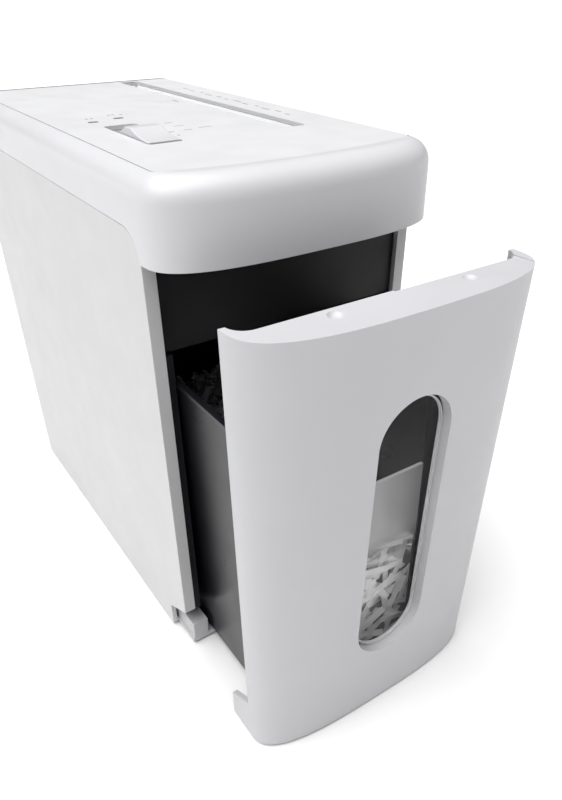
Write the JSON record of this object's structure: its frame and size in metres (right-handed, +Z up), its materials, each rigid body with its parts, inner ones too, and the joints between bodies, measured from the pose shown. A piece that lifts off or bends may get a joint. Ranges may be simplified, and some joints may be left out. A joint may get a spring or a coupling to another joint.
{
  "type": "paper shredder",
  "caption": "Deskside paper shredder with a narrow bowed front, a paper slot along the top, a slide switch and a pull-out waste drawer with a tall rounded window.",
  "frame": {"origin": "middle of the bounding box on the floor, with the drawer drawn out 71.6 mm", "axes": "+Z up, +Y to the back of the machine, +X to the right seen from the front"},
  "size_m": [0.1636, 0.3946, 0.293],
  "materials": {
    "white_gloss": "gloss",
    "white_satin": "satin",
    "side_white": "fine satin",
    "charcoal": "satin",
    "bin_black": "satin",
    "grey_plastic": "satin",
    "clear_lens": "clear",
    "bin_clear": "clear",
    "indicator": "translucent",
    "rubber_foot": "matt",
    "steel_plate": "brushed",
    "cutter_steel": "ground",
    "zinc_screw": "zinc",
    "bronze_bush": "sintered",
    "acetal": "natural",
    "motor_steel": "zinc",
    "winding": "lacquered",
    "dark_part": "matt",
    "circuit_green": "solder mask",
    "heat_alu": "extruded",
    "paper": "paper"
  },
  "bodies": {
    "chassis": {"body_shell": "side_white", "body_liner": "charcoal", "base_tray": "grey_plastic", "feet": "rubber_foot", "base_screws": "zinc_screw", "rear_screws": "zinc_screw", "rear_grille": "charcoal", "cord_gland": "charcoal", "head_cover": "white_gloss", "skirt_plate": "charcoal", "top_panel": "white_satin", "entry_chute": "white_satin", "switch_tray": "white_satin", "switch_block": "dark_part", "indicator_lenses": "indicator", "indicator_board": "circuit_green", "mech_front_cover": "charcoal", "mech_floor": "charcoal", "front_plate": "steel_plate", "rear_plate": "steel_plate", "tie_rods": "steel_plate", "shaft_bushes": "bronze_bush", "gear_cover": "dark_part", "comb_left": "steel_plate", "comb_right": "steel_plate", "motor_can": "motor_steel", "motor_stator": "winding", "motor_end_cap": "dark_part", "control_board": "circuit_green", "board_capacitor": "dark_part", "board_relay": "dark_part", "heat_sink": "heat_alu", "plate_screws": "zinc_screw", "interlock_switch": "dark_part", "paper_sensors": "dark_part"},
    "drawer": {"drawer_front": "white_gloss", "window_lens": "clear_lens", "waste_bin": "bin_black", "bin_pane": "bin_clear", "bin_clips": "white_satin", "bin_glides": "acetal", "drawer_screws": "zinc_screw", "shred_pile": "paper"},
    "switch_slider": {"switch_slider": "white_gloss"},
    "cutter_a": {"cutter_shaft_a": "cutter_steel", "sync_gear_a": "acetal", "drive_gear": "acetal"},
    "cutter_b": {"cutter_shaft_b": "cutter_steel", "sync_gear_b": "acetal"},
    "idler": {"idler_shaft": "steel_plate", "idler_gear": "acetal"},
    "motor_rotor": {"motor_rotor": "motor_steel", "motor_pinion": "steel_plate"},
    "interlock_plunger": {"interlock_plunger": "acetal"},
    "catch_plunger": {"catch_plunger": "acetal"}
  },
  "joints": [
    {"name": "drawer_slide", "type": "slide", "parent": "chassis", "child": "drawer", "axis": [0, -1, 0], "range_m": [-0.0713, 0.185]},
    {"name": "switch_slide", "type": "slide", "parent": "chassis", "child": "switch_slider", "axis": [0, 1, 0], "range_m": [0, 0.0195]},
    {"name": "cutter_a_spin", "type": "hinge", "parent": "chassis", "child": "cutter_a", "pos_m": [0.029, 0.0053, 0.232], "axis": [0, 1, 0], "continuous": true},
    {"name": "cutter_b_spin", "type": "hinge", "parent": "chassis", "child": "cutter_b", "pos_m": [0.055, 0.0053, 0.232], "axis": [0, 1, 0], "continuous": true},
    {"name": "idler_spin", "type": "hinge", "parent": "chassis", "child": "idler", "pos_m": [-0.001, -0.0547, 0.232], "axis": [0, 1, 0], "continuous": true},
    {"name": "motor_spin", "type": "hinge", "parent": "chassis", "child": "motor_rotor", "pos_m": [-0.026, 0.0053, 0.232], "axis": [0, 1, 0], "continuous": true},
    {"name": "interlock_press", "type": "slide", "parent": "chassis", "child": "interlock_plunger", "axis": [0, 0, 1], "range_m": [0, 0.003], "stiffness_N_per_m": 200, "springref_m": -0.001},
    {"name": "catch_press", "type": "slide", "parent": "chassis", "child": "catch_plunger", "axis": [0, 0, 1], "range_m": [0, 0.003], "stiffness_N_per_m": 200, "springref_m": -0.001}
  ],
  "couplings": [
    {"joint": "cutter_b_spin", "follows": "cutter_a_spin", "ratio": -1},
    {"joint": "idler_spin", "follows": "cutter_a_spin", "ratio": -3},
    {"joint": "motor_spin", "follows": "cutter_a_spin", "ratio": 12}
  ]
}
